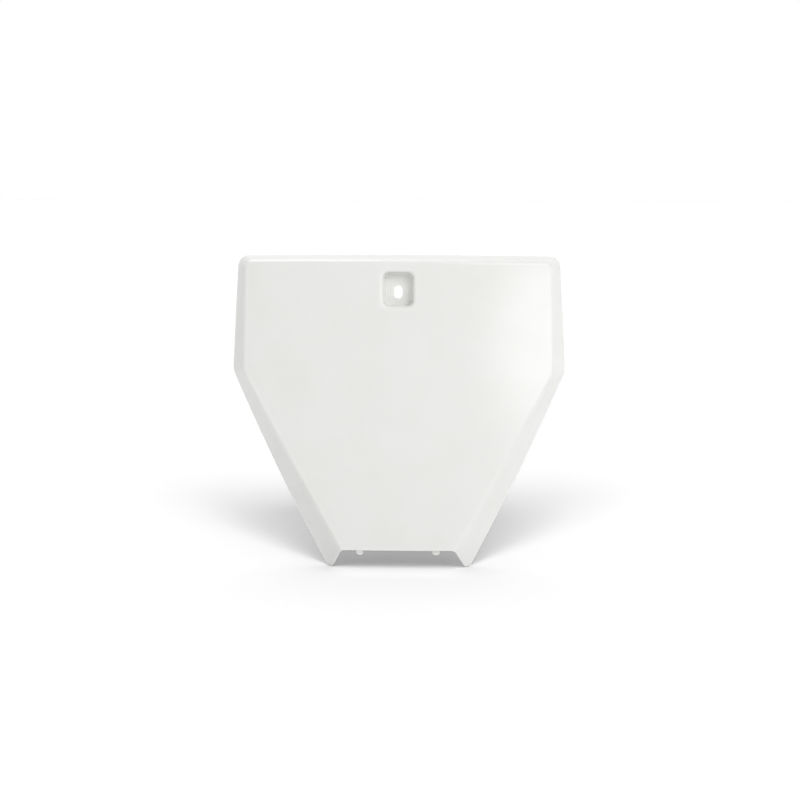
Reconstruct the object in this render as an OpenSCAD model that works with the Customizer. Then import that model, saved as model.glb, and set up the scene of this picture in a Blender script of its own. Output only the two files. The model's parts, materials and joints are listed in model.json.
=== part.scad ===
// Front number board of an off-road racing motorcycle, injection-moulded in one shell of even wall.
// X runs across the board, Y from its face to its back, and Z up. The origin is the middle of the
// screw slot, on the flat seat behind the pocket. The face and its folded-back edges are one loft:
// every section runs from the rear rim over the fold and the bowed face down into the pocket.

/* [Wall] */
// Thickness of the moulded wall
wall = 2; // [1.6:0.1:2.3]
// Outside radius of the fold between the face and its edges
fold_r = 3.6; // [2.6:0.1:5]

/* [Face] */
// Width of the face along its top edge
face_top_w = 234; // [214:1:236]
// Width of the face at its side corners
face_side_w = 237.6; // [232:0.2:242]
// Width of the face along its bottom edge
face_low_w = 88; // [74:1:100]
// Height of the face's top edge above the screw
face_top_z = 23; // [21.5:0.1:26]
// Drop from the screw to the side corners of the face
face_side_drop = 61.5; // [50:0.5:75]
// Drop from the screw to the bottom edge
face_low_drop = 199.3; // [190:0.1:208]
// Radius of the face's top corners
face_top_r = 7; // [5:0.5:9]
// Radius of the face's side corners
face_side_r = 16; // [8:1:24]
// Radius of the face's bow across the board
crown_r = 700; // [500:10:1200]
// Radius of the face's bow from top to bottom
lean_r = 1500; // [1000:50:3000]
// Drop from the screw to the foremost point of the face
apex_drop = 60; // [20:5:100]

/* [Folded edges] */
// Width over the rear rim at its top corners
rim_top_w = 246.4; // [240:0.2:250]
// Width over the rear rim at its side corners
rim_side_w = 257; // [250:0.5:264]
// Width over the tips of the two horns
rim_low_w = 112; // [104:1:120]
// Height of the rear rim's top corners above the screw
rim_top_z = 26.9; // [26:0.1:30]
// Drop from the screw to the side corners of the rear rim
rim_side_drop = 62.5; // [52:0.5:74]
// Drop from the screw to the tips of the horns
tip_drop = 217.8; // [212:0.2:224]
// Radius of the rear rim's top corners
rim_top_r = 9; // [6:0.5:12]
// Radius of the rear rim's side corners
rim_side_r = 16; // [8:1:24]
// Rise of the top edge's arch
top_arch = 1.2; // [0:0.1:2]
// Outward bulge of the rim along the taper
taper_bulge = 1.6; // [0:0.1:3]
// Depth of the folded edge along the top
edge_top_d = 14; // [10:0.5:18]
// Depth of the folded edge at the horns
edge_low_d = 32; // [24:1:36]

/* [Bottom notch] */
// Width of the flat end of each horn
tip_w = 5.4; // [4:0.2:8]
// Radius of the notch's two corners
notch_r = 5; // [3:0.5:8]

/* [Screw pocket] */
// Width of the pocket's mouth
mouth_w = 24; // [20:0.5:28]
// Height of the pocket's mouth
mouth_h = 26; // [22:0.5:27]
// Height of the mouth's middle above the screw
mouth_z = 2.8; // [1:0.1:3]
// Width of the pocket's floor
floor_w = 19; // [16:0.5:21]
// Height of the pocket's floor
floor_h = 24.2; // [18:0.2:25]
// Height of the floor's middle above the screw
floor_z = 2; // [1:0.1:2.6]
// Depth from the face to the pocket's floor
pocket_d = 12; // [9:0.5:15]
// Radius of the corners of the mouth
mouth_r = 4.6; // [3.6:0.2:6]
// Radius of the corners of the floor
floor_r = 3.6; // [2.6:0.2:5]
// Radius of the lip round the mouth
lip_r = 2.5; // [2.4:0.1:3]
// Radius where the pocket's walls meet its floor
root_r = 0.9; // [0.6:0.1:1.4]
// Width of the slot for the screw
slot_w = 6.4; // [5.4:0.1:8]
// Length of the slot for the screw
slot_len = 9.8; // [8.4:0.1:12]

/* [Locating pegs] */
// Distance between the two pegs
peg_gap = 59; // [50:1:66]
// Diameter of each peg
peg_d = 5.6; // [4.6:0.1:7]
// Length of the free part of each peg
peg_len = 12; // [9:0.5:15]
// Length of each peg that shows below the bottom edge
peg_show = 4.6; // [3:0.2:6]
// Distance from the back of the face to a peg's middle
peg_off = 7; // [6:0.5:9]
// Chamfer of each peg's end
peg_chamfer = 0.7; // [0.4:0.1:1]
// Height of the foot that carries each peg
foot_h = 5; // [4:0.5:7]
// Width of the foot that carries each peg
foot_w = 9; // [8:0.5:12]
// Thickness of the stiffening ribs
rib_t = 1.6; // [1.2:0.1:2]
// Height of the rib above each foot
rib_h = 30; // [20:1:40]
// Distance between the ribs above and below the pocket
box_rib_gap = 16; // [13:0.5:17]
// Drop from the pocket's floor to the lower end of the ribs below it
box_rib_drop = 26; // [16:1:36]

/* [Hidden] */
$fn = 48;
// Straight pieces in each rounding of a section: fold, lip and root of the pocket
FOLD_STEPS = 4;
LIP_STEPS = 3;
ROOT_STEPS = 2;
// Straight pieces in each rounded corner of an outline, and along each of its edges
CORNER_STEPS = 6;
SIDE_CORNER_STEPS = 5;
TOP_STEPS = 10;
UPPER_STEPS = 4;
TAPER_STEPS = 9;
LOW_STEPS = 6;
// Rings of the face between its fold and the pocket's lip
FACE_RINGS = 5;
// Below the horns the outlines run on by this much and end in corners of this radius, all of which
// is trimmed off by a cut that runs past the board on every side
trim = 12;
trim_r = 6;
over = 40;
white = "#f3f3ef";

// Distance that a bow of radius r falls back at d from its crest
function bow(d, r) = r - sqrt(r * r - d * d);

// Depth of the face's front surface at x, z
face_y = -(pocket_d + wall) - bow(apex_drop, lean_r);
function face_at(x, z) = face_y + bow(x, crown_r) + bow(z + apex_drop, lean_r);
function on_face(p) = [p[0], face_at(p[0], p[1]), p[1]];

// Depth of the folded edge behind the face, growing evenly from the top to the horns
function edge_depth(z) =
    edge_top_d + (edge_low_d - edge_top_d) * (face_top_z - z) / (face_top_z + face_low_drop);

function unit(v) = v / norm(v);
function mix(a, b, t) = a + (b - a) * t;
// Direction to the right of a flat direction
function turned(v) = [v[1], -v[0]];

// Points of the arc of radius r that rounds corner p between its legs a and b, in two or three
// dimensions
function rounding(p, a, b, r, steps) =
    let (half = acos(a * b) / 2,
         middle = p + unit(a + b) * r / sin(half),
         from = p + a * r / tan(half) - middle,
         to = p + b * r / tan(half) - middle,
         turn = 180 - 2 * half)
    [for (i = [0 : steps])
        middle + (from * sin(turn * (1 - i / steps)) + to * sin(turn * i / steps)) / sin(turn)];

// Closed outline with rounded corners: each corner's arc, then the points of the edge after it,
// which may bulge outwards
function outline(corners, radii, arc_steps, edge_steps, bulges) =
    let (n = len(corners),
         arcs = [for (i = [0 : n - 1])
             rounding(corners[i], unit(corners[(i + n - 1) % n] - corners[i]),
                      unit(corners[(i + 1) % n] - corners[i]), radii[i], arc_steps[i])])
    [for (i = [0 : n - 1])
        let (start = arcs[i][arc_steps[i]],
             end = arcs[(i + 1) % n][0],
             outward = -turned(unit(end - start)))
        each concat(arcs[i],
            [for (j = [1 : edge_steps[i] - 1])
                let (t = j / edge_steps[i])
                mix(start, end, t) + outward * bulges[i] * 4 * t * (1 - t)])];

// Outline with six corners, from the top right one clockwise, for the fold and for the rear rim
function board_outline(top, side, low, top_r, side_r, arch, bulge) =
    outline([top, side, low, [-low[0], low[1]], [-side[0], side[1]], [-top[0], top[1]]],
            [top_r, side_r, trim_r, trim_r, side_r, top_r],
            [CORNER_STEPS, SIDE_CORNER_STEPS, CORNER_STEPS,
             CORNER_STEPS, SIDE_CORNER_STEPS, CORNER_STEPS],
            [UPPER_STEPS, TAPER_STEPS, LOW_STEPS, TAPER_STEPS, UPPER_STEPS, TOP_STEPS],
            [0, bulge, 0, bulge, 0, arch]);

// Outline with four corners and as many points, for the pocket's mouth and floor
function pocket_outline(w, h, z, r) =
    outline([[w / 2, z + h / 2], [w / 2, z - h / 2], [-w / 2, z - h / 2], [-w / 2, z + h / 2]],
            [r, r, r, r],
            [CORNER_STEPS, CORNER_STEPS, CORNER_STEPS, CORNER_STEPS],
            [UPPER_STEPS + SIDE_CORNER_STEPS + TAPER_STEPS, LOW_STEPS,
             UPPER_STEPS + SIDE_CORNER_STEPS + TAPER_STEPS, TOP_STEPS],
            [0, 0, 0, 0]);

// End of a tapering edge, run on in its own direction below the horns
function run_on(side, low) =
    low + (low - side) * (trim + low[1] + tip_drop) / (side[1] - low[1]);

fold_line = board_outline(
    [face_top_w / 2, face_top_z], [face_side_w / 2, -face_side_drop],
    run_on([face_side_w / 2, -face_side_drop], [face_low_w / 2, -face_low_drop]),
    face_top_r, face_side_r, top_arch, 0);
rim_line = board_outline(
    [rim_top_w / 2, rim_top_z], [rim_side_w / 2, -rim_side_drop],
    run_on([rim_side_w / 2, -rim_side_drop], [rim_low_w / 2, -tip_drop]),
    rim_top_r, rim_side_r, top_arch, taper_bulge);
mouth_line = pocket_outline(mouth_w, mouth_h, mouth_z, mouth_r);
floor_line = pocket_outline(floor_w, floor_h, floor_z, floor_r);
STATIONS = len(fold_line);

// Inward direction of an outline at station i, in the plane of the board
function inward(line, i) =
    turned(unit(line[(i + 1) % STATIONS] - line[(i + STATIONS - 1) % STATIONS]));

// Direction along the face's surface from the flat point p towards the flat direction d
function along_face(p, d) = unit(on_face(p + d) - on_face(p));

// One section of the outer surface, from the rear rim over the fold and the face to the pocket's
// floor
function section(i) =
    let (fold = fold_line[i],
         mouth = mouth_line[i],
         rim = [rim_line[i][0], face_at(fold[0], fold[1]) + edge_depth(fold[1]), rim_line[i][1]],
         floor_edge = [floor_line[i][0], -wall, floor_line[i][1]],
         pocket_wall = unit(floor_edge - on_face(mouth)),
         fold_arc = rounding(on_face(fold), unit(rim - on_face(fold)),
                             along_face(fold, inward(fold_line, i)), fold_r, FOLD_STEPS),
         lip_arc = rounding(on_face(mouth), along_face(mouth, -inward(mouth_line, i)),
                            pocket_wall, lip_r, LIP_STEPS),
         floor_in = inward(floor_line, i),
         root_arc = rounding(floor_edge, -pocket_wall, [floor_in[0], 0, floor_in[1]],
                             root_r, ROOT_STEPS),
         face_from = fold_arc[FOLD_STEPS],
         face_to = lip_arc[0])
    concat([rim], fold_arc,
        [for (k = [1 : FACE_RINGS])
            on_face(mix([face_from[0], face_from[2]], [face_to[0], face_to[2]],
                        k / (FACE_RINGS + 1)))],
        lip_arc, root_arc, [mix(root_arc[ROOT_STEPS], [0, -wall, floor_z], 0.5)]);

outer = [for (i = [0 : STATIONS - 1]) section(i)];
RINGS = len(outer[0]);

// Direction into the wall at ring k of station i
function into_wall(i, k) =
    unit(cross(outer[(i + 1) % STATIONS][k] - outer[(i + STATIONS - 1) % STATIONS][k],
               outer[i][min(k + 1, RINGS - 1)] - outer[i][max(k - 1, 0)]));

inner = [for (i = [0 : STATIONS - 1])
    [for (k = [0 : RINGS - 1]) outer[i][k] + wall * into_wall(i, k)]];

// The moulded shell before its bottom is trimmed: outer and inner surfaces joined along the rear
// rim, each closed across the pocket's floor
module loft() {
    skin = STATIONS * RINGS;
    points = concat([for (s = outer) each s], [for (s = inner) each s],
                    [[0, -wall, floor_z], [0, 0, floor_z]]);
    polyhedron(points, [
        for (i = [0 : STATIONS - 1])
            let (a = i * RINGS, b = ((i + 1) % STATIONS) * RINGS)
            each concat(
                [for (k = [0 : RINGS - 2])
                    each [[a + k, b + k, b + k + 1], [a + k, b + k + 1, a + k + 1],
                          [skin + a + k, skin + b + k + 1, skin + b + k],
                          [skin + a + k, skin + a + k + 1, skin + b + k + 1]]],
                [[a, skin + a, skin + b], [a, skin + b, b],
                 [a + RINGS - 1, b + RINGS - 1, 2 * skin],
                 [skin + a + RINGS - 1, 2 * skin + 1, skin + b + RINGS - 1]])
    ], convexity = 8);
}

// Outline of what is trimmed off below: the notch between the horns, and all below their tips
module trim_outline() {
    tip_in = rim_low_w / 2 - tip_w;
    below = -tip_drop - over;
    right = rounding([face_low_w / 2, -face_low_drop], [-1, 0],
                     unit([tip_in - face_low_w / 2, face_low_drop - tip_drop]),
                     notch_r, CORNER_STEPS);
    polygon(concat(
        right,
        [[tip_in, -tip_drop], [rim_side_w, -tip_drop], [rim_side_w, below],
         [-rim_side_w, below], [-rim_side_w, -tip_drop], [-tip_in, -tip_drop]],
        [for (i = [CORNER_STEPS : -1 : 0]) [-right[i][0], right[i][1]]]));
}

module bottom_trim() {
    rotate([90, 0, 0])
        translate([0, 0, -2 * over])
            linear_extrude(height = 4 * over)
                trim_outline();
}

// Upright slot through the pocket's floor, for one screw with play
module screw_slot() {
    reach = (slot_len - slot_w) / 2;
    for (s = [-1, 1])
        translate([0, wall, s * reach])
            rotate([90, 0, 0])
                cylinder(d = slot_w, h = 3 * wall);
    translate([-slot_w / 2, -2 * wall, -reach])
        cube([slot_w, 3 * wall, 2 * reach]);
}

// One locating peg with the foot and rib that carry it on the back of the face
module peg(x) {
    tip_z = -face_low_drop - peg_show;
    foot_z = tip_z + peg_len;
    back_y = face_at(x, foot_z) + wall;
    peg_y = back_y + peg_off;
    root_z = foot_z + foot_h + rib_h;
    translate([x, peg_y, tip_z]) {
        cylinder(d1 = peg_d - 2 * peg_chamfer, d2 = peg_d, h = peg_chamfer);
        translate([0, 0, peg_chamfer])
            cylinder(d = peg_d, h = peg_len - peg_chamfer + foot_h / 2);
    }
    translate([x - foot_w / 2, back_y - wall / 2, foot_z])
        cube([foot_w, peg_off + wall / 2, foot_h]);
    translate([x, peg_y, foot_z])
        cylinder(d = foot_w, h = foot_h);
    translate([x - rib_t / 2, 0, 0])
        rotate([90, 0, 90])
            linear_extrude(height = rib_t)
                polygon([[back_y - wall / 2, foot_z + foot_h / 2],
                         [peg_y, foot_z + foot_h / 2],
                         [peg_y, foot_z + foot_h],
                         [face_at(x, root_z) + wall / 2, root_z]]);
}

// One pair of upright ribs at x: the upper one ties the pocket to the top edge, and the lower one
// props it on the back of the face
module box_ribs(x) {
    half = wall / 2;
    top_z = face_top_z - half;
    low_z = floor_z - floor_h / 2 - box_rib_drop;
    mouth_top = mouth_z + mouth_h / 2 + half;
    mouth_low = mouth_z - mouth_h / 2 - half;
    translate([x - rib_t / 2, 0, 0])
        rotate([90, 0, 90])
            linear_extrude(height = rib_t) {
                polygon([[face_at(x, mouth_top) + half, mouth_top],
                         [-half, floor_z + floor_h / 2 + half],
                         [-half, top_z],
                         [face_at(x, top_z) + half, top_z]]);
                polygon([[face_at(x, mouth_low) + half, mouth_low],
                         [-half, floor_z - floor_h / 2 - half],
                         [face_at(x, low_z) + half, low_z]]);
            }
}

module number_board() {
    color(white)
        difference() {
            union() {
                difference() {
                    loft();
                    bottom_trim();
                }
                for (s = [-1, 1]) {
                    peg(s * peg_gap / 2);
                    box_ribs(s * box_rib_gap / 2);
                }
            }
            screw_slot();
        }
}

number_board();
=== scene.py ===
import json
import math

import bmesh
import bpy
import numpy as np
from bpy.props import FloatProperty, FloatVectorProperty, PointerProperty
from mathutils import Matrix, Vector
from mathutils.geometry import delaunay_2d_cdt


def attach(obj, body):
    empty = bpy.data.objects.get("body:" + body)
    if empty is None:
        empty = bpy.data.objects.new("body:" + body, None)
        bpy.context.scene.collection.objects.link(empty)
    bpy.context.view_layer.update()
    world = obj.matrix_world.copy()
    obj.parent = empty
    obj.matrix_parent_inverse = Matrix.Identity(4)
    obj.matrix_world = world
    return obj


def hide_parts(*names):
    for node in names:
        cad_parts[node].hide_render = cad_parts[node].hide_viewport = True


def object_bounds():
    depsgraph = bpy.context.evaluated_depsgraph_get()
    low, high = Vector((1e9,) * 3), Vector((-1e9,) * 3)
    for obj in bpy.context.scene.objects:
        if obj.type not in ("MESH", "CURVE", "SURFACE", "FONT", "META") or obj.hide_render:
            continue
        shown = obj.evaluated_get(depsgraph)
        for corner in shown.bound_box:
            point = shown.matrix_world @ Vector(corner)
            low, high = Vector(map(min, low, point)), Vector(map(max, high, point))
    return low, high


bl_info = {
    "name": "Racing Number Board",
    "version": (1, 0, 0),
    "blender": (4, 5, 0),
    "location": "View3D > Sidebar > Number Board",
    "description": "Moulded front number board of an off-road racing motorcycle, with its stage",
    "category": "Add Mesh",
}

# The frame is in metres: X across the board, Y from its face to its back, Z up, with the origin at
# the middle of the screw slot on the flat seat behind the pocket.
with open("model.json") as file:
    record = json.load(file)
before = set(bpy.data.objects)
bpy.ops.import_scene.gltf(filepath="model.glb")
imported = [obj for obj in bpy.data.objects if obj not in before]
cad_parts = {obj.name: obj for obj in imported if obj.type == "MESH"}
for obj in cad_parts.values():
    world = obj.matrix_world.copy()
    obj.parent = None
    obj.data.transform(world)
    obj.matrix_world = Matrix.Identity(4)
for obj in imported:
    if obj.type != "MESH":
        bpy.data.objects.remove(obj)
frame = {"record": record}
cad_low, cad_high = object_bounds()
mounts = {mount["name"]: mount for mount in frame["record"]["mounts"]}
slot_sizes = mounts["screw_slot"]["dims"]
peg_place = mounts["right_peg"]["pos_m"]
peg_sizes = mounts["right_peg"]["dims"]
MM = 0.001


def length(name, description, default):
    """A length of the board, in metres."""
    return FloatProperty(name=name, description=description, default=default,
                         unit="LENGTH", precision=5)


def to_linear(hex_colour):
    """Turns an sRGB hex colour to linear RGBA."""
    channels = [int(hex_colour[i:i + 2], 16) / 255 for i in (1, 3, 5)]
    linear = [c / 12.92 if c <= 0.04045 else ((c + 0.055) / 1.055) ** 2.4 for c in channels]
    return (*linear, 1.0)


def colour(name, description, hex_colour):
    """A colour given as sRGB hex."""
    return FloatVectorProperty(name=name, description=description, subtype="COLOR", size=4,
                               min=0.0, max=1.0, default=to_linear(hex_colour))


def lamp_strength(name, description, default, unit="NONE"):
    """A light's strength."""
    return FloatProperty(name=name, description=description, default=default, min=0.0, unit=unit)


def fraction(name, description, default):
    """A number from 0 to 1."""
    return FloatProperty(name=name, description=description, default=default,
                         min=0.0, max=1.0, subtype="FACTOR")


def camera_turn(name, description, degrees):
    """An angle, given in degrees."""
    return FloatProperty(name=name, description=description, default=math.radians(degrees),
                         subtype="ANGLE")


class NumberBoardShell(bpy.types.PropertyGroup):
    """Sizes of the face and of its folded edges."""
    wall: length("Wall", "Thickness of the moulded wall", 2 * MM)
    fold_r: length("Fold radius", "Outside radius between face and edges", 3.6 * MM)
    face_top_w: length("Face width at top", "Width of the face along its top edge", 234 * MM)
    face_side_w: length("Face width at side corners", "Widest part of the face", 237.6 * MM)
    face_low_w: length("Face width at bottom", "Width of the face's bottom edge", 88 * MM)
    face_top_z: length("Face top", "Height of the top edge above the screw", 23 * MM)
    face_side_drop: length("Face corner drop", "Screw to the side corners", 61.5 * MM)
    face_low_drop: length("Face drop", "Screw to the bottom edge", 199.3 * MM)
    face_top_r: length("Top corner radius", "Radius of the face's top corners", 7 * MM)
    face_side_r: length("Side corner radius", "Radius of the face's side corners", 16 * MM)
    crown_r: length("Crown radius", "Bow of the face across the board", 700 * MM)
    lean_r: length("Lean radius", "Bow of the face from top to bottom", 1500 * MM)
    apex_drop: length("Crest drop", "Screw to the foremost point of the face", 60 * MM)
    rim_top_w: length("Rim width at top", "Width over the rim's top corners", 246.4 * MM)
    rim_side_w: length("Rim width at side corners", "Width over the rim's corners", 257 * MM)
    rim_low_w: length("Rim width at horns", "Width over the tips of the horns", 112 * MM)
    rim_top_z: length("Rim top", "Height of the rim's top corners above the screw", 26.9 * MM)
    rim_side_drop: length("Rim corner drop", "Screw to the rim's side corners", 62.5 * MM)
    tip_drop: length("Tip drop", "Screw to the tips of the horns", -cad_low.z)
    rim_top_r: length("Rim top corner radius", "Radius of the rim's top corners", 9 * MM)
    rim_side_r: length("Rim side corner radius", "Radius of the rim's side corners", 16 * MM)
    top_arch: length("Top arch", "Rise of the top edge's arch", 1.2 * MM)
    taper_bulge: length("Taper bulge", "Outward bulge of the rim along the taper", 1.6 * MM)
    edge_top_d: length("Edge depth at top", "Depth of the folded edge at the top", 14 * MM)
    edge_low_d: length("Edge depth at horns", "Depth of the folded edge at the horns", 32 * MM)
    tip_w: length("Tip width", "Width of the flat end of each horn", 3.6 * MM)
    notch_r: length("Notch radius", "Radius of the notch's two corners", 5 * MM)
    edge_round: length("Edge rounding", "Rounding of every cut edge of the wall", 0.5 * MM)


class NumberBoardPocket(bpy.types.PropertyGroup):
    """Sizes of the screw pocket and its slot."""
    mouth_w: length("Mouth width", "Width of the pocket's mouth", 24 * MM)
    mouth_h: length("Mouth height", "Height of the pocket's mouth", 26 * MM)
    mouth_z: length("Mouth height above screw", "Middle of the mouth", 2.8 * MM)
    floor_w: length("Floor width", "Width of the pocket's floor", 19 * MM)
    floor_h: length("Floor height", "Height of the pocket's floor", 24.2 * MM)
    floor_z: length("Floor height above screw", "Middle of the floor", 2 * MM)
    depth: length("Depth", "Depth from the face to the floor", 12 * MM)
    mouth_r: length("Mouth corner radius", "Radius of the mouth's corners", 4.6 * MM)
    floor_r: length("Floor corner radius", "Radius of the floor's corners", 3.6 * MM)
    lip_r: length("Lip radius", "Radius of the lip round the mouth", 2.2 * MM)
    root_r: length("Root radius", "Radius between walls and floor", 0.9 * MM)
    slot_w: length("Slot width", "Width of the screw slot", 2 * slot_sizes["hole_r_mm"] * MM)
    slot_len: length("Slot length", "Length of the slot", slot_sizes["slot_length_mm"] * MM)


class NumberBoardPegs(bpy.types.PropertyGroup):
    """Sizes of the locating pegs, their feet and the ribs."""
    peg_x: length("Peg place", "Distance of each peg from the middle", peg_place[0])
    peg_y: length("Peg depth", "Depth of each peg's middle", peg_place[1])
    peg_d: length("Peg diameter", "Diameter of each peg", 2 * peg_sizes["r_mm"] * MM)
    peg_len: length("Peg length", "Length of the free part of each peg", 12 * MM)
    peg_show: length("Peg reach", "Length that shows below the bottom edge", 4.6 * MM)
    peg_chamfer: length("Peg chamfer", "Chamfer of each peg's end", 0.7 * MM)
    foot_h: length("Foot height", "Height of the foot that carries a peg", 5 * MM)
    foot_w: length("Foot width", "Width of the foot that carries a peg", 9 * MM)
    rib_t: length("Rib thickness", "Thickness of the stiffening ribs", 1.6 * MM)
    rib_h: length("Rib height", "Height of the rib above each foot", 30 * MM)
    box_rib_gap: length("Pocket rib gap", "Distance between the pocket's ribs", 16 * MM)
    box_rib_drop: length("Pocket rib drop", "Floor to the lower end of its ribs", 26 * MM)


class NumberBoardFinish(bpy.types.PropertyGroup):
    """Colours and surface of the moulded polypropylene."""
    base: colour("Base", "Colour of the moulding", "#ececea")
    shade: colour("Flow shade", "Faint second tone where the melt cooled later", "#e9e9e6")
    # Rubbed edges, also painted lighter as an edge highlight
    worn: colour("Worn", "Colour of rubbed edges", "#f3f3f1")
    roughness: fraction("Roughness", "Roughness off the mould", 0.22)
    rubbed: fraction("Rubbed roughness", "Roughness of rubbed edges", 0.18)
    grain: length("Grain", "Width of the grain that the mould's skin leaves", 1.6 * MM)
    flow: length("Flow", "Width of the cooling marks", 45 * MM)


class NumberBoardStage(bpy.types.PropertyGroup):
    """Floor, lamps and camera."""
    floor: colour("Floor", "Colour of the floor", "#7c7c7c")
    bounce: colour("Bounce", "Colour that the floor throws back onto the board", "#717171")
    floor_light: lamp_strength("Floor light", "Strength of the floor's own lamps", 1.0)
    fill: lamp_strength("Fill", "Strength of the light from all round", 0.4)
    left_wall: lamp_strength("Left wall", "Strength of the glow from the left", 0.3)
    right_wall: lamp_strength("Right wall", "Strength of the glow from the right", 0.7)
    key: lamp_strength("Key", "Strength of the lamp at the front right", 1.08)
    rim: lamp_strength("Rim", "Strength of the lamp above and behind the board", 1.1)
    softbox: lamp_strength("Softbox", "Power of the softbox that the face mirrors", 0.78, "POWER")
    azimuth: camera_turn("Azimuth", "Camera's turn towards +X", 1.5)
    elevation: camera_turn("Elevation", "Camera's height as an angle", 7.0)
    roll: camera_turn("Roll", "Camera's roll about its own axis", -0.15)
    distance: length("Distance", "Camera to the face, along its axis", 1600 * MM)


def unit(v):
    """Vectors of length 1 in the same directions."""
    return v / np.linalg.norm(v, axis=-1, keepdims=True)


def bow(distance, radius):
    """Distance that a bow of this radius falls back at a distance from its crest."""
    return radius - np.sqrt(radius ** 2 - distance ** 2)


def rounding(corner, leg_a, leg_b, radius, steps):
    """Points of the arc that rounds a corner between two unit legs, for one corner or many."""
    half = np.arccos(np.sum(leg_a * leg_b, axis=-1, keepdims=True)) / 2
    middle = corner + unit(leg_a + leg_b) * radius / np.sin(half)
    start = corner + leg_a * radius / np.tan(half) - middle
    end = corner + leg_b * radius / np.tan(half) - middle
    turn = (math.pi - 2 * half)[..., None, :]
    t = np.linspace(0, 1, steps + 1)[:, None]
    swung = start[..., None, :] * np.sin(turn * (1 - t)) + end[..., None, :] * np.sin(turn * t)
    return middle[..., None, :] + swung / np.sin(turn)


def outline(corners, radii, arc_steps, edge_steps, bulges):
    """Closed outline with rounded corners, clockwise; its edges may bulge outwards."""
    corners = np.array(corners)
    before = unit(np.roll(corners, 1, 0) - corners)
    after = unit(np.roll(corners, -1, 0) - corners)
    arcs = [rounding(*each) for each in zip(corners, before, after, radii, arc_steps)]
    points = []
    for arc, following, steps, bulge in zip(arcs, arcs[1:] + arcs[:1], edge_steps, bulges):
        start, end = arc[-1], following[0]
        right = unit(end - start)
        outward = np.array([-right[1], right[0]])
        t = np.linspace(0, 1, steps + 1)[1:-1, None]
        points += [arc, start + (end - start) * t + outward * bulge * 4 * t * (1 - t)]
    return np.concatenate(points)


# Straight pieces in each rounding of a section, and rings between them
FLANGE_RINGS, FOLD_STEPS, LIP_STEPS, POCKET_RINGS, ROOT_STEPS, FLOOR_RINGS = 6, 10, 8, 4, 5, 3
# Straight pieces in each corner of an outline, and along its edges
CORNER_STEPS, SIDE_CORNER_STEPS = 12, 14
TOP_STEPS, UPPER_STEPS, TAPER_STEPS, LOW_STEPS, POCKET_STEPS = 72, 22, 60, 32, 12
# Spacing of the points that fill the face, and the share of it that they keep from its borders
FACE_STEP, BORDER_GAP = 3 * MM, 0.7
# Length and corner radius of the part of the outlines below the horns, which the notch cuts off
RUN_ON, RUN_ON_R = 12 * MM, 6 * MM
# Straight pieces in the rounding of the wall's edge
EDGE_STEPS = 3
# Share of an edge within which a cut takes its end instead of splitting it
NEAR_CUT = 0.2
# Halvings in the search for the point where an edge is cut
CUT_HALVINGS = 24
# Straight pieces in a peg's circle, in the half circle of its foot and in a rounded edge
PEG_STEPS, FOOT_STEPS, BEVEL_STEPS = 48, 24, 2
# Rounding of the ribs' edges, the feet's edges and the corners of the pegs' chamfers
RIB_ROUND, FOOT_ROUND, PEG_ROUND = 0.25 * MM, 0.4 * MM, 0.1 * MM
# Edges that bend further than these angles are rounded, or shaded as sharp
BEVEL_ANGLE, SHARP_ANGLE = math.radians(40), math.radians(38)
# Outside radius at which an edge counts as fully rubbed and fully painted lighter as a highlight
WEAR_AND_HIGHLIGHT_RADIUS = 1.2 * MM


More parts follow.
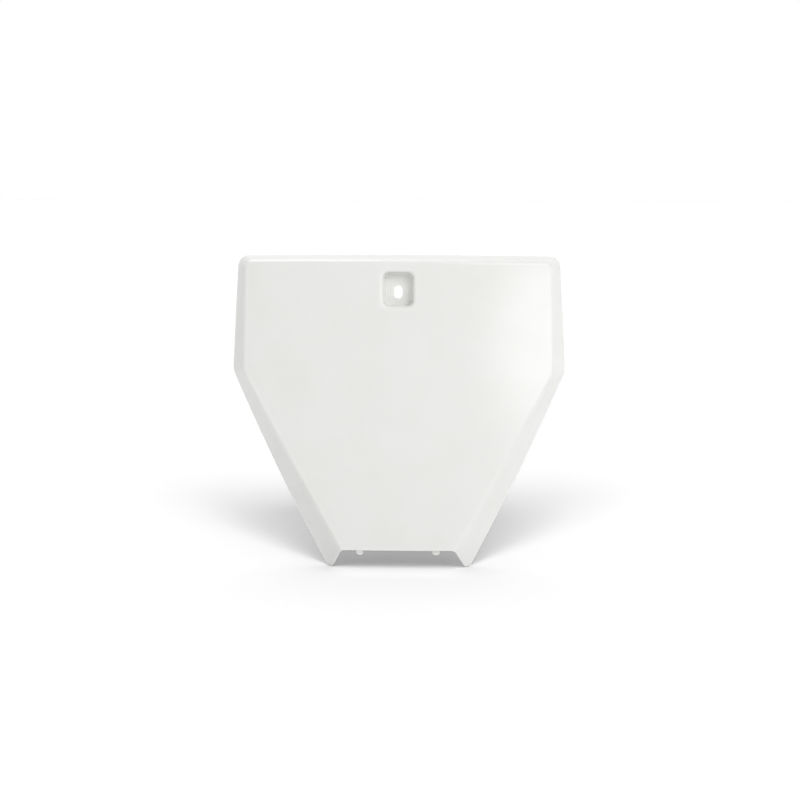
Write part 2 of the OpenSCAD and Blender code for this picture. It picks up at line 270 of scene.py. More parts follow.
class Surface:
    """The board's outer surface: sections over the folded edge and sections down into the pocket,
    with the bowed face between them."""

    def __init__(self, shell, pocket):
        self.shell, self.pocket = shell, pocket
        self.front = -(pocket.depth + shell.wall) - bow(shell.apex_drop, shell.lean_r)

    def depth(self, x, z):
        """Depth of the face's front at x, z."""
        s = self.shell
        return self.front + bow(x, s.crown_r) + bow(z + s.apex_drop, s.lean_r)

    def on_face(self, flat):
        """Points of the face's front at flat points."""
        return np.stack([flat[..., 0], self.depth(flat[..., 0], flat[..., 1]), flat[..., 1]], -1)

    def along_face(self, flat, direction):
        """Direction on the face's surface from a flat point in a flat direction."""
        return unit(self.on_face(flat + direction * MM) - self.on_face(flat))

    def run_on(self, side, low):
        """End of a tapering edge, run on in its own direction below the horns."""
        side, low = np.array(side), np.array(low)
        return low + (low - side) * (RUN_ON + low[1] + self.shell.tip_drop) / (side[1] - low[1])

    def board_outline(self, top, side, low, top_r, side_r, bulge):
        """Six-sided outline from the right-hand corners at the top, the side and the horn."""
        low = self.run_on(side, low)
        mirrored = [(-x, z) for x, z in (low, side, top)]
        return outline([top, side, low, *mirrored],
                       [top_r, side_r, RUN_ON_R, RUN_ON_R, side_r, top_r],
                       [CORNER_STEPS, SIDE_CORNER_STEPS, CORNER_STEPS,
                        CORNER_STEPS, SIDE_CORNER_STEPS, CORNER_STEPS],
                       [UPPER_STEPS, TAPER_STEPS, LOW_STEPS, TAPER_STEPS, UPPER_STEPS, TOP_STEPS],
                       [0, bulge, 0, bulge, 0, self.shell.top_arch])

    def pocket_outline(self, w, h, z, r):
        """Rounded rectangle whose middle is at height z."""
        corners = [(w / 2, z + h / 2), (w / 2, z - h / 2), (-w / 2, z - h / 2), (-w / 2, z + h / 2)]
        return outline(corners, [r] * 4, [CORNER_STEPS] * 4, [POCKET_STEPS] * 4, [0] * 4)

    def slot_outline(self, towards):
        """Points of the slot's edge that lie in the direction of each flat point."""
        p = self.pocket
        radius = p.slot_w / 2 + self.shell.edge_round
        reach = (p.slot_len - p.slot_w) / 2
        x, z = unit(towards).T
        # Where the ray meets the round end, or the straight side if that comes first
        along = reach * np.abs(z)
        end = along + np.sqrt(radius ** 2 - reach ** 2 + along ** 2 + 0j).real
        side = radius / np.maximum(np.abs(x), 1e-9)
        straight = side * np.abs(z) <= reach
        return np.stack([x, z], -1) * np.where(straight, side, end)[:, None]

    def edge_sections(self):
        """Sections from the rear rim over the fold to the face, as stations by rings by three."""
        s = self.shell
        fold = self.board_outline((s.face_top_w / 2, s.face_top_z),
                                  (s.face_side_w / 2, -s.face_side_drop),
                                  (s.face_low_w / 2, -s.face_low_drop),
                                  s.face_top_r, s.face_side_r, 0)
        rim_flat = self.board_outline((s.rim_top_w / 2, s.rim_top_z),
                                      (s.rim_side_w / 2, -s.rim_side_drop),
                                      (s.rim_low_w / 2, -s.tip_drop),
                                      s.rim_top_r, s.rim_side_r, s.taper_bulge)
        fall = (s.face_top_z - fold[:, 1]) / (s.face_top_z + s.face_low_drop)
        edge_depth = s.edge_top_d + (s.edge_low_d - s.edge_top_d) * fall
        corner = self.on_face(fold)
        rim = np.stack([rim_flat[:, 0], corner[:, 1] + edge_depth, rim_flat[:, 1]], -1)
        rim -= unit(rim - corner) * s.edge_round
        fold_arc = rounding(corner, unit(rim - corner), self.along_face(fold, inward(fold)),
                            s.fold_r, FOLD_STEPS)
        return np.concatenate([rim[:, None], between(rim, fold_arc[:, 0], FLANGE_RINGS), fold_arc],
                              1)

    def pocket_sections(self):
        """Sections from the face over the lip and down the pocket to the edge of its slot."""
        s, p = self.shell, self.pocket
        mouth = self.pocket_outline(p.mouth_w, p.mouth_h, p.mouth_z, p.mouth_r)
        floor = self.pocket_outline(p.floor_w, p.floor_h, p.floor_z, p.floor_r)
        lip = self.on_face(mouth)
        floor_edge = np.stack([floor[:, 0], np.full(len(floor), -s.wall), floor[:, 1]], -1)
        pocket_wall = unit(floor_edge - lip)
        lip_arc = rounding(lip, self.along_face(mouth, -inward(mouth)), pocket_wall,
                           p.lip_r, LIP_STEPS)
        floor_in = inward(floor)
        floor_in = np.stack([floor_in[:, 0], np.zeros(len(floor)), floor_in[:, 1]], -1)
        root_arc = rounding(floor_edge, -pocket_wall, floor_in, p.root_r, ROOT_STEPS)
        slot_flat = self.slot_outline(root_arc[:, -1, ::2])
        slot = np.stack([slot_flat[:, 0], root_arc[:, -1, 1], slot_flat[:, 1]], -1)
        return np.concatenate([lip_arc, between(lip_arc[:, -1], root_arc[:, 0], POCKET_RINGS),
                               root_arc, between(root_arc[:, -1], slot, FLOOR_RINGS),
                               slot[:, None]], 1)

    def face_points(self, fold, lip):
        """Staggered points that fill the flat face between its two borders, clear of both."""
        row_gap = FACE_STEP * math.sqrt(3) / 2
        (left, low), (right, high) = fold.min(0), fold.max(0)
        rows = [np.stack([np.arange(left + i % 2 * FACE_STEP / 2, right, FACE_STEP)] * 2, -1)
                for i in range(int((high - low) / row_gap) + 1)]
        for i, row in enumerate(rows):
            row[:, 1] = low + i * row_gap
        points = np.concatenate(rows)
        clear = np.min(np.linalg.norm(points[:, None] - np.concatenate([fold, lip]), axis=-1), 1)
        within = encloses(fold, points) & ~encloses(lip, points)
        return points[within & (clear > BORDER_GAP * FACE_STEP)]


def encloses(border, points):
    """Whether each flat point lies within a closed border."""
    ahead = np.roll(border, -1, 0)
    x, z = points[:, None, 0], points[:, None, 1]
    spans = (border[:, 1] > z) != (ahead[:, 1] > z)
    rise = np.where(spans, ahead[:, 1] - border[:, 1], 1)
    met = border[:, 0] + (z - border[:, 1]) * (ahead[:, 0] - border[:, 0]) / rise
    return np.sum(spans & (x < met), 1) % 2 == 1


def between(start, end, count):
    """Evenly spaced points between two rows of points, without the ends."""
    t = np.linspace(0, 1, count + 2)[1:-1, None]
    return start[:, None] * (1 - t) + end[:, None] * t


def inward(line):
    """Inward direction at each point of a clockwise outline."""
    run = unit(np.roll(line, -1, 0) - np.roll(line, 1, 0))
    return np.stack([run[:, 1], -run[:, 0]], -1)


def new_object(name, bm):
    """Makes a mesh object of a bmesh and links it to the scene."""
    mesh = bpy.data.meshes.new(name)
    bm.to_mesh(mesh)
    bm.free()
    made = bpy.data.objects.new(name, mesh)
    bpy.context.scene.collection.objects.link(made)
    return made


def apply_modifiers(target):
    """Replaces an object's mesh by the result of its modifiers."""
    seen = target.evaluated_get(bpy.context.evaluated_depsgraph_get())
    mesh = bpy.data.meshes.new_from_object(seen)
    target.modifiers.clear()
    target.data = mesh


def add_modifier(target, kind, **settings):
    """Adds a modifier with its settings, and applies it."""
    modifier = target.modifiers.new(kind.title(), kind)
    for name, value in settings.items():
        setattr(modifier, name, value)
    apply_modifiers(target)


def loft(bm, sections):
    """Adds a quad for each step from section to section and ring to ring, and returns the grid."""
    grid = [[bm.verts.new(p) for p in section] for section in sections]
    for here, there in zip(grid, grid[1:] + grid[:1]):
        for k in range(len(here) - 1):
            bm.faces.new((here[k], here[k + 1], there[k + 1], there[k]))
    return grid


def outer_sheet(surface):
    """Bmesh of the outer surface, whose face is filled with even triangles laid on its bow."""
    bm = bmesh.new()
    fold = [section[-1] for section in loft(bm, surface.edge_sections())]
    lip = [section[0] for section in loft(bm, surface.pocket_sections())]
    fold_flat, lip_flat = (np.array([v.co.xz for v in border]) for border in (fold, lip))
    filling = surface.face_points(fold_flat, lip_flat)
    verts = fold + lip + [bm.verts.new(p) for p in surface.on_face(filling)]
    borders = []
    for first, count in ((0, len(fold)), (len(fold), len(lip))):
        borders += [(first + i, first + (i + 1) % count) for i in range(count)]
    flat = [Vector(p) for p in np.concatenate([fold_flat, lip_flat, filling])]
    inside_borders, nearest = 1, 1e-7
    _, _, faces, origins, _, _ = delaunay_2d_cdt(flat, borders, [], inside_borders, nearest)
    for face in faces:
        corners = [verts[origins[i][0]] for i in face]
        # A triangle with all its corners on the lip would close the pocket's mouth
        if not set(lip).issuperset(corners):
            bm.faces.new(corners)
    bm.normal_update()
    return bm


def crossing(kept, a, b):
    """Share of the way from a to b at which the cut's edge is met."""
    low, high = 0.0, 1.0
    inside = kept(a) > 0
    for _ in range(CUT_HALVINGS):
        middle = (low + high) / 2
        if (kept(a.lerp(b, middle)) > 0) == inside:
            low = middle
        else:
            high = middle
    return high


def cut_away(bm, kept):
    """Cuts a sheet where kept(point) changes sign, and removes the part that is below zero."""
    sides = {v: kept(v.co) > 0 for v in bm.verts}
    crossed = [e for e in bm.edges if sides[e.verts[0]] != sides[e.verts[1]]]
    shares = {e: crossing(kept, *(v.co.copy() for v in e.verts)) for e in crossed}
    on_line = set()
    # A point that lies close to the line moves onto it, so that no sliver is left beside the cut
    for edge, share in shares.items():
        near, far = edge.verts if share < 0.5 else tuple(edge.verts)[::-1]
        if min(share, 1 - share) < NEAR_CUT and not on_line & {near, far}:
            near.co = near.co.lerp(far.co, min(share, 1 - share))
            on_line.add(near)
    for edge, share in shares.items():
        if not on_line & set(edge.verts):
            on_line.add(bmesh.utils.edge_split(edge, edge.verts[0], share)[1])
    for face in {f for v in on_line for f in v.link_faces}:
        beside_kept = [loop.vert for loop in face.loops if loop.vert in on_line and any(
            v not in on_line and sides[v]
            for v in (loop.link_loop_next.vert, loop.link_loop_prev.vert))]
        if len({sides[v] for v in face.verts if v not in on_line}) == 2:
            bmesh.utils.face_split(face, *beside_kept)
    lost = [f for f in bm.faces
            if any(v not in on_line and not sides[v] for v in f.verts)
            or (on_line.issuperset(f.verts) and kept(f.calc_center_median()) < 0)]
    bmesh.ops.delete(bm, geom=lost, context="FACES")


def thicken(bm, wall, radius):
    """Gives a sheet an even wall behind it, and rounds the wall's edge along every border."""
    bm.normal_update()
    quarter = np.linspace(0, math.pi / 2, EDGE_STEPS + 1)
    front = [(radius * (1 - math.cos(a)), radius * math.sin(a)) for a in quarter[1:]]
    profile = front + [(wall - depth, out) for depth, out in front[::-1]]
    sheet = list(bm.faces)
    borders = [e for e in bm.edges if e.is_boundary]
    outward = {}
    for edge in borders:
        loop = edge.link_loops[0]
        run = loop.link_loop_next.vert.co - loop.vert.co
        for v in edge.verts:
            outward.setdefault(v, []).append(run.cross(v.normal).normalized())
    behind = {v: bm.verts.new(v.co - v.normal * wall) for v in list(bm.verts)}
    rounded = {}
    for v, (one, other) in outward.items():
        # Outwards from both edges at once, with the reach limited where they fold back sharply
        out = (one + other) / max(1 + one.dot(other), 0.5)
        rounded[v] = [v, *(bm.verts.new(v.co - v.normal * depth + out * reach)
                           for depth, reach in profile), behind[v]]
    for face in sheet:
        bm.faces.new([behind[v] for v in reversed(face.verts)])
    for edge in borders:
        loop = edge.link_loops[0]
        here, there = rounded[loop.vert], rounded[loop.link_loop_next.vert]
        for k in range(len(here) - 1):
            bm.faces.new((there[k], here[k], here[k + 1], there[k + 1]))


class Notch:
    """The bottom notch: a straight edge, a rounded corner at each end, and the horns' inner edges.
    It is worked out for the right half, and mirrored."""

    def __init__(self, shell):
        self.corner = Vector((shell.face_low_w / 2, -shell.face_low_drop))
        tip = Vector((shell.rim_low_w / 2 - shell.tip_w, -shell.tip_drop))
        self.down = (tip - self.corner).normalized()
        self.out = Vector((-self.down.y, self.down.x))
        self.along = Vector((1.0, 0.0))
        self.radius = shell.notch_r
        half = (math.pi - self.along.angle(self.down)) / 2
        bisector = (self.down - self.along).normalized()
        self.middle = self.corner + bisector * self.radius / math.sin(half)

    def kept(self, point):
        """Positive where the wall is kept, above the notch and on the horns."""
        p = Vector((abs(point.x), point.z))
        from_middle = p - self.middle
        if from_middle.dot(self.along) > 0 and from_middle.dot(-self.down) > 0:
            return from_middle.length - self.radius
        from_corner = p - self.corner
        return max(from_corner.y, from_corner.dot(self.out))


def extruded(name, outline_points, thickness, matrix, rounded):
    """Closed piece with an outline in its own plane, an even thickness and rounded edges."""
    bm = bmesh.new()
    face = bm.faces.new([bm.verts.new((x, y, -thickness / 2)) for x, y in outline_points])
    lifted = bmesh.ops.extrude_face_region(bm, geom=[face])["geom"]
    verts = [v for v in lifted if isinstance(v, bmesh.types.BMVert)]
    bmesh.ops.translate(bm, vec=(0, 0, thickness), verts=verts)
    bmesh.ops.recalc_face_normals(bm, faces=bm.faces)
    bm.transform(matrix)
    made = new_object(name, bm)
    add_modifier(made, "BEVEL", width=rounded, segments=BEVEL_STEPS, angle_limit=BEVEL_ANGLE)
    return made


def turned(name, profile, x, y):
    """Closed piece turned about an upright axis at x, y from a profile of radius and height."""
    bm = bmesh.new()
    angles = [math.tau * i / PEG_STEPS for i in range(PEG_STEPS)]
    rings = [[bm.verts.new((x + radius * math.cos(a), y + radius * math.sin(a), height))
              for a in angles] for radius, height in profile]
    for low, high in zip(rings, rings[1:]):
        for i in range(PEG_STEPS):
            j = (i + 1) % PEG_STEPS
            bm.faces.new((low[i], low[j], high[j], high[i]))
    bm.faces.new(rings[0][::-1])
    bm.faces.new(rings[-1])
    bmesh.ops.recalc_face_normals(bm, faces=bm.faces)
    return new_object(name, bm)


def join_solids(target, others):
    """Joins closed pieces to the target as one moulding, and removes them."""
    for other in others:
        add_modifier(target, "BOOLEAN", operation="UNION", solver="MANIFOLD", object=other)
        bpy.data.objects.remove(other)


def mark_edges(target):
    """Stores at each point, from 0 to 1, how sharply the surface bends outwards, where hands, boots
    and straps wear a moulding and where its edges are painted lighter as a highlight."""
    mesh = target.data
    count = len(mesh.vertices)
    place = np.empty(count * 3, np.float32)
    normal = np.empty(count * 3, np.float32)
    mesh.vertices.foreach_get("co", place)
    mesh.vertices.foreach_get("normal", normal)
    place, normal = place.reshape(-1, 3), normal.reshape(-1, 3)
    ends = np.empty(len(mesh.edges) * 2, np.int32)
    mesh.edges.foreach_get("vertices", ends)
    a, b = ends.reshape(-1, 2).T
    run = place[b] - place[a]
    span = np.maximum(np.sum(run * run, 1), 1e-12)
    bend = np.sum((normal[b] - normal[a]) * run, 1) / span
    sharpest = np.zeros(count)
    np.maximum.at(sharpest, a, bend)
    np.maximum.at(sharpest, b, bend)
    worn = np.clip(sharpest * WEAR_AND_HIGHLIGHT_RADIUS, 0, 1)
    attribute = mesh.attributes.new("worn", "FLOAT", "POINT")
    attribute.data.foreach_set("value", worn.astype(np.float32))


def add_node(tree, kind, settings=None, links=None):
    """Adds a node, sets its properties or inputs, and links its inputs."""
    node = tree.nodes.new(kind)
    for name, value in (settings or {}).items():
        if isinstance(name, int) or name in node.inputs:
            node.inputs[name].default_value = value
        else:
            setattr(node, name, value)
    for name, source in (links or {}).items():
        tree.links.new(source, node.inputs[name])
    return node


def moulded_polypropylene(finish):
    """White polypropylene, injection-moulded. To the eye: a milky semi-gloss skin with a soft,
    slightly uneven sheen, a faint grain off the tool, broad cooling marks, and edges rubbed smooth
    and painted a touch lighter as an edge highlight."""
    material = bpy.data.materials.new("moulded_white_polypropylene")
    material.use_nodes = True
    tree = material.node_tree
    tree.nodes.clear()
    place = add_node(tree, "ShaderNodeTexCoord").outputs["Object"]
    # Cooling marks are a few centimetres wide. A tool's grain is about 0.2 mm wide, which is too
    # fine to show at 0.76 mm a pixel, so it is drawn eight times as coarse.
    flow = add_node(tree, "ShaderNodeTexNoise",
                    {"Scale": 1 / finish.flow, "Detail": 2.0, "Roughness": 0.5},
                    {"Vector": place}).outputs["Fac"]
    grain = add_node(tree, "ShaderNodeTexNoise",
                     {"Scale": 1 / finish.grain, "Detail": 3.0, "Roughness": 0.6},
                     {"Vector": place}).outputs["Fac"]
    worn = add_node(tree, "ShaderNodeAttribute", {"attribute_name": "worn"}).outputs["Fac"]
    patch = add_node(tree, "ShaderNodeMapRange",
                     {"From Min": 0.35, "From Max": 0.75, "To Min": 0.0, "To Max": 1.0},
                     {"Value": flow}).outputs["Result"]
    body = add_node(tree, "ShaderNodeMix", {"data_type": "RGBA", 6: finish.base, 7: finish.shade},
                    {"Factor": patch}).outputs[2]
    # The grain breaks up the rubbed edge and its painted highlight, so that they fade unevenly
    rub_and_highlight = add_node(tree, "ShaderNodeMath", {"operation": "MULTIPLY"},
                   {0: worn, 1: grain}).outputs["Value"]
    # Sharp outward edges are painted a touch lighter: part rubbed, part painted highlight
    skin = add_node(tree, "ShaderNodeMix", {"data_type": "RGBA", 7: finish.worn},
                    {"Factor": rub_and_highlight, 6: body}).outputs[2]
    sheen = add_node(tree, "ShaderNodeMapRange",
                     {"From Min": 0.3, "From Max": 0.7,
                      "To Min": finish.roughness - 0.03, "To Max": finish.roughness + 0.04},
                     {"Value": flow}).outputs["Result"]
    gloss = add_node(tree, "ShaderNodeMix", {"data_type": "FLOAT", "B": finish.rubbed},
                     {"Factor": rub_and_highlight, "A": sheen}).outputs[0]
    bump = add_node(tree, "ShaderNodeBump", {"Strength": 0.06, "Distance": 0.2 * MM},
                    {"Height": grain}).outputs["Normal"]
    # Milky plastic lets a little light in, and the red of it furthest. Polypropylene's IOR is 1.49.
    shader = add_node(tree, "ShaderNodeBsdfPrincipled",
                      {"IOR": 1.49, "Subsurface Weight": 0.08, "Subsurface Scale": 1.5 * MM,
                       "Subsurface Radius": (1.0, 0.95, 0.9)},
                      {"Base Color": skin, "Roughness": gloss, "Normal": bump})
    add_node(tree, "ShaderNodeOutputMaterial", links={"Surface": shader.outputs["BSDF"]})
    return material


class NUMBERBOARD_OT_shell(bpy.types.Operator):
    """Moulds the board's shell: bowed face, folded edges, horns, and the pocket with its slot"""
    bl_idname = "numberboard.shell"
    bl_label = "Shell"

    def execute(self, context):
        shell = context.scene.number_board_shell
        surface = Surface(shell, context.scene.number_board_pocket)
        bm = outer_sheet(surface)
        # The rounding of the wall's edge adds its own radius, so each cut stops short by that
        cut_away(bm, lambda point: point.z + shell.tip_drop - shell.edge_round)
        notch = Notch(shell)
        cut_away(bm, lambda point: notch.kept(point) - shell.edge_round)
        thicken(bm, shell.wall, shell.edge_round)
        new_object("moulded_board", bm)
        return {"FINISHED"}


class NUMBERBOARD_OT_pegs(bpy.types.Operator):
    """Adds the two locating pegs with their feet, and the ribs of feet and pocket"""
    bl_idname = "numberboard.pegs"
    bl_label = "Pegs and ribs"

    def execute(self, context):
        shell = context.scene.number_board_shell
        pocket = context.scene.number_board_pocket
        pegs = context.scene.number_board_pegs
        surface = Surface(shell, pocket)
        parts = []
        for side in (-1, 1):
            parts += peg_parts(surface, shell, pegs, side)
            parts += pocket_ribs(surface, shell, pocket, pegs, side)
        join_solids(bpy.data.objects["moulded_board"], parts)
        return {"FINISHED"}


def rib(name, pegs, x, points):
    """Upright rib at x, with its outline in depth and height."""
    upright = Matrix(((0, 0, 1, x), (1, 0, 0, 0), (0, 1, 0, 0), (0, 0, 0, 1)))
    return extruded(name, points, pegs.rib_t, upright, RIB_ROUND)


def peg_parts(surface, shell, pegs, side):
    """One peg, the foot that carries it and the rib above that, sunk into the wall."""
    x = side * pegs.peg_x
    tip = -shell.face_low_drop - pegs.peg_show
    foot = tip + pegs.peg_len
    top = foot + pegs.foot_h
    back = surface.depth(x, foot) + shell.wall
    radius = pegs.peg_d / 2
    # The chamfer runs out a little on the end and up the side, which softens its two corners
    profile = [(radius - pegs.peg_chamfer * 1.3, tip),
               (radius - pegs.peg_chamfer, tip + PEG_ROUND),
               (radius - PEG_ROUND, tip + pegs.peg_chamfer),
               (radius, tip + pegs.peg_chamfer * 1.4), (radius, foot + pegs.foot_h / 2)]
    peg = turned("peg", profile, x, pegs.peg_y)
    half = pegs.foot_w / 2
    round_end = [(x + half * math.cos(a), pegs.peg_y + half * math.sin(a))
                 for a in np.linspace(0, math.pi, FOOT_STEPS + 1)]
    sunk = back - shell.wall / 2
    foot_piece = extruded("foot", [(x - half, sunk), (x + half, sunk), *round_end], pegs.foot_h,
                          Matrix.Translation((0, 0, foot + pegs.foot_h / 2)), FOOT_ROUND)
    root = top + pegs.rib_h
    rib_piece = rib("foot_rib", pegs, x, [(sunk, foot + pegs.foot_h / 2),
                                          (pegs.peg_y, foot + pegs.foot_h / 2),
                                          (pegs.peg_y, top),
                                          (surface.depth(x, root) + shell.wall / 2, root)])
    return [foot_piece, peg, rib_piece]


def pocket_ribs(surface, shell, pocket, pegs, side):
    """Two ribs in line: one ties the pocket to the top edge, the other props it on the face."""
    x = side * pegs.box_rib_gap / 2
    half = shell.wall / 2
    top = shell.face_top_z - half
    low = pocket.floor_z - pocket.floor_h / 2 - pegs.box_rib_drop
    mouth_top = pocket.mouth_z + pocket.mouth_h / 2 + half
    mouth_low = pocket.mouth_z - pocket.mouth_h / 2 - half
    upper = rib("upper_rib", pegs, x,
                [(surface.depth(x, mouth_top) + half, mouth_top),
                 (-half, pocket.floor_z + pocket.floor_h / 2 + half),
                 (-half, top), (surface.depth(x, top) + half, top)])
    lower = rib("lower_rib", pegs, x,
                [(surface.depth(x, mouth_low) + half, mouth_low),
                 (-half, pocket.floor_z - pocket.floor_h / 2 - half),
                 (surface.depth(x, low) + half, low)])
    return [upper, lower]


class NUMBERBOARD_OT_finish(bpy.types.Operator):
    """Gives the moulding its polypropylene skin and hands it to the frame"""
    bl_idname = "numberboard.finish"
    bl_label = "Finish"

    def execute(self, context):
        board = bpy.data.objects["moulded_board"]
        board.data.set_sharp_from_angle(angle=SHARP_ANGLE)
        board.data.polygons.foreach_set("use_smooth", [True] * len(board.data.polygons))
        mark_edges(board)
        board.data.materials.clear()
        board.data.materials.append(moulded_polypropylene(context.scene.number_board_finish))
        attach(board, "root")
        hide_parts("number_board")
        return {"FINISHED"}


def seen_rays(tree):
    """1 for the rays that show a surface to the eye: the camera's, reflected and through glass."""
    ray = add_node(tree, "ShaderNodeLightPath").outputs
    mirrored = add_node(tree, "ShaderNodeMath", {"operation": "MAXIMUM"},
                        {0: ray["Is Glossy Ray"], 1: ray["Is Transmission Ray"]}).outputs["Value"]
    return add_node(tree, "ShaderNodeMath", {"operation": "MAXIMUM"},
                    {0: ray["Is Camera Ray"], 1: mirrored}).outputs["Value"]


def floor_material(stage):
    """Matt grey paper under lamps of its own. To the eye it is white and keeps the shadow. What it
    throws back onto the board is slightly darker, so that the folded edges keep their shade."""
    material = bpy.data.materials.new("matt_paper")
    material.use_nodes = True
    tree = material.node_tree
    tree.nodes.clear()
    tone = add_node(tree, "ShaderNodeMix", {"data_type": "RGBA", 6: stage.bounce, 7: stage.floor},
                    {"Factor": seen_rays(tree)}).outputs[2]
    paper = add_node(tree, "ShaderNodeBsdfDiffuse", links={"Color": tone}).outputs["BSDF"]
    add_node(tree, "ShaderNodeOutputMaterial", links={"Surface": paper})
    return material


# A side wall's glow comes from straight to the side, turned this far along Y and Z, and fades
# away from there by this power of the cosine
WALL_FRONT, WALL_RISE, WALL_FADE = -0.25, 0.15, 3.0


def white_world(stage):
    """World with an even fill and the glow of a bright wall at each side, which the camera,
    reflections and glass see as plain white."""
    world = bpy.data.worlds.new("white_studio")
    world.use_nodes = True
    tree = world.node_tree
    tree.nodes.clear()
    direction = add_node(tree, "ShaderNodeTexCoord").outputs["Generated"]
    light = add_node(tree, "ShaderNodeValue").outputs["Value"]
    light.default_value = stage.fill
    for side, power in ((-1, stage.left_wall), (1, stage.right_wall)):
        to_wall = add_node(tree, "ShaderNodeVectorMath",
                           {"operation": "DOT_PRODUCT",
                            1: Vector((side, WALL_FRONT, WALL_RISE)).normalized()}, {0: direction})
        ahead = add_node(tree, "ShaderNodeMath", {"operation": "MAXIMUM", 1: 0.0},
                         {0: to_wall.outputs["Value"]}).outputs["Value"]
        glow = add_node(tree, "ShaderNodeMath", {"operation": "POWER", 1: WALL_FADE},
                        {0: ahead}).outputs["Value"]
        light = add_node(tree, "ShaderNodeMath", {"operation": "MULTIPLY_ADD", 1: power},
                         {0: glow, 2: light}).outputs["Value"]
    level = add_node(tree, "ShaderNodeMix", {"data_type": "FLOAT", "B": 1.0},
                     {"Factor": seen_rays(tree), "A": light}).outputs[0]
    shown = add_node(tree, "ShaderNodeBackground", {"Color": (1, 1, 1, 1)},
                     {"Strength": level}).outputs["Background"]
    add_node(tree, "ShaderNodeOutputWorld", links={"Surface": shown})
    return world


def add_lamp(name, kind, place, at, **settings):
    """Lamp at a place, pointed at another, which the camera doesn't see."""
    lamp = bpy.data.lights.new(name, kind)
    for key, value in settings.items():
        setattr(lamp, key, value)
    made = bpy.data.objects.new(name, lamp)
    made.location = place
    made.rotation_euler = (at - place).to_track_quat("-Z", "Y").to_euler()
    made.visible_camera = False
    bpy.context.scene.collection.objects.link(made)
    return made


def add_sun(name, at, azimuth, height, angle, energy):
    """Distant lamp at an azimuth to the right of the front, with its height and its own width,
    all in degrees."""
    a, e = math.radians(azimuth), math.radians(height)
    towards = Vector((math.sin(a) * math.cos(e), -math.cos(a) * math.cos(e), math.sin(e)))
    return add_lamp(name, "SUN", at + towards, at, energy=energy, angle=math.radians(angle))


def light_only(lamp, lit):
    """Makes a lamp light one object alone; every object still casts its shadow."""
    receivers = bpy.data.collections.new(f"lit_by_{lamp.name}")
    receivers.objects.link(lit)
    lamp.light_linking.receiver_collection = receivers


# Side of the frame, and where the middle of the face at the screw's height lands in it
FRAME_PX, REFERENCE_PX = 800, (398.0, 292.9)
# Size of a pixel there
METRES_PER_PX = 0.756 * MM


def add_camera(stage, surface):
    """Camera at the photograph's angle, distance and framing."""
    a, e = stage.azimuth, stage.elevation
    forward = Vector((-math.sin(a) * math.cos(e), math.cos(a) * math.cos(e), -math.sin(e)))
    right = Vector((math.cos(a), math.sin(a), 0))
    upward = right.cross(forward)
    lean = Matrix.Rotation(stage.roll, 3, forward)
    right, upward = lean @ right, lean @ upward
    reference = Vector((0, surface.depth(0, 0), 0))
    centre = (reference + right * (FRAME_PX / 2 - REFERENCE_PX[0]) * METRES_PER_PX
              + upward * (REFERENCE_PX[1] - FRAME_PX / 2) * METRES_PER_PX)
    camera = bpy.data.cameras.new("camera")
    camera.lens = camera.sensor_width * stage.distance / (FRAME_PX * METRES_PER_PX)
    made = bpy.data.objects.new("camera", camera)
    bpy.context.scene.collection.objects.link(made)
    turn = Matrix((right, upward, -forward)).transposed()
    made.matrix_world = Matrix.Translation(centre - forward * stage.distance) @ turn.to_4x4()
    bpy.context.scene.camera = made


# Each sun has its azimuth, height and width in degrees. The floor's own ones also have a strength:
# those at the front throw the shadow behind the board, and the broad one overhead makes the soft
# shade round its foot.
FLOOR_SUNS = ((4, 35, 16, 6.3), (16, 27, 16, 3.8), (-10, 27, 16, 5.4), (0, 90, 150, 6.3))
KEY_SUN, RIM_SUN = (25, 30, 30), (-150, 62, 30)
# The softbox: its place and the point that it faces, from the board's middle, and its size
BOX_PLACE, BOX_TARGET = Vector((0.322, -0.52, 0.02)), Vector((0.08, 0, 0.02))
BOX_WIDTH, BOX_HEIGHT = 0.26, 0.36
# Reach of the floor from the middle, and its squares along a side
FLOOR_REACH, FLOOR_SQUARES = 10, 8


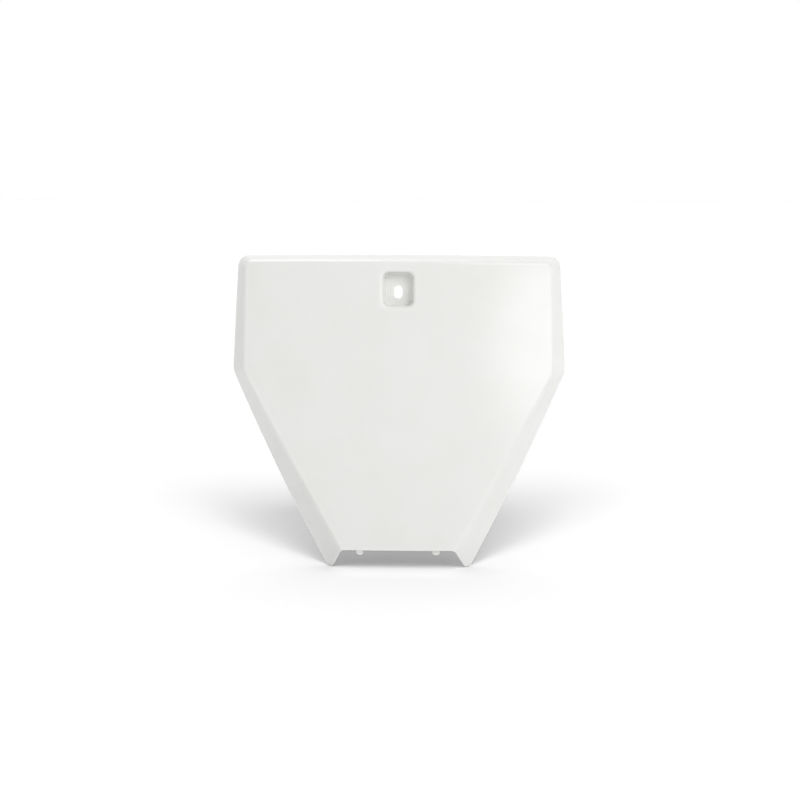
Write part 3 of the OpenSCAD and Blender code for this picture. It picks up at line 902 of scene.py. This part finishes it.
class NUMBERBOARD_OT_stage(bpy.types.Operator):
    """Lays the pale floor and sets the lamps, the world and the camera"""
    bl_idname = "numberboard.stage"
    bl_label = "Stage"

    def execute(self, context):
        stage = context.scene.number_board_stage
        surface = Surface(context.scene.number_board_shell, context.scene.number_board_pocket)
        bm = bmesh.new()
        bmesh.ops.create_grid(bm, x_segments=FLOOR_SQUARES, y_segments=FLOOR_SQUARES,
                              size=FLOOR_REACH)
        bmesh.ops.translate(bm, vec=(0, 0, cad_low.z), verts=bm.verts)
        floor = new_object("paper_floor", bm)
        floor.data.materials.append(floor_material(stage))
        context.scene.world = white_world(stage)
        middle = (cad_low + cad_high) / 2
        for *direction, energy in FLOOR_SUNS:
            light_only(add_sun("floor_sun", middle, *direction, energy * stage.floor_light), floor)
        add_sun("key", middle, *KEY_SUN, stage.key)
        rim = add_sun("rim", middle, *RIM_SUN, stage.rim)
        light_only(rim, bpy.data.objects["moulded_board"])
        box = add_lamp("softbox", "AREA", middle + BOX_PLACE, middle + BOX_TARGET,
                       energy=stage.softbox, shape="ELLIPSE", size=BOX_WIDTH, size_y=BOX_HEIGHT)
        # It shows only as a highlight in the gloss
        box.visible_diffuse = False
        add_camera(stage, surface)
        context.scene.view_settings.view_transform = "Standard"
        return {"FINISHED"}


class NUMBERBOARD_PT_panel(bpy.types.Panel):
    """Lists the steps that make the board"""
    bl_idname = "NUMBERBOARD_PT_panel"
    bl_label = "Number Board"
    bl_space_type = "VIEW_3D"
    bl_region_type = "UI"
    bl_category = "Number Board"

    def draw(self, context):
        for step in STEPS:
            self.layout.operator(step.bl_idname)


GROUPS = {
    "number_board_shell": NumberBoardShell,
    "number_board_pocket": NumberBoardPocket,
    "number_board_pegs": NumberBoardPegs,
    "number_board_finish": NumberBoardFinish,
    "number_board_stage": NumberBoardStage,
}
STEPS = (NUMBERBOARD_OT_shell, NUMBERBOARD_OT_pegs, NUMBERBOARD_OT_finish, NUMBERBOARD_OT_stage)


def register():
    for made in (*GROUPS.values(), *STEPS, NUMBERBOARD_PT_panel):
        bpy.utils.register_class(made)
    for name, group in GROUPS.items():
        setattr(bpy.types.Scene, name, PointerProperty(type=group))


def unregister():
    for name in GROUPS:
        delattr(bpy.types.Scene, name)
    for made in (NUMBERBOARD_PT_panel, *STEPS[::-1], *reversed(GROUPS.values())):
        bpy.utils.unregister_class(made)


def main():
    register()
    bpy.ops.numberboard.shell()
    bpy.ops.numberboard.pegs()
    bpy.ops.numberboard.finish()
    bpy.ops.numberboard.stage()


if __name__ == "__main__":
    main()
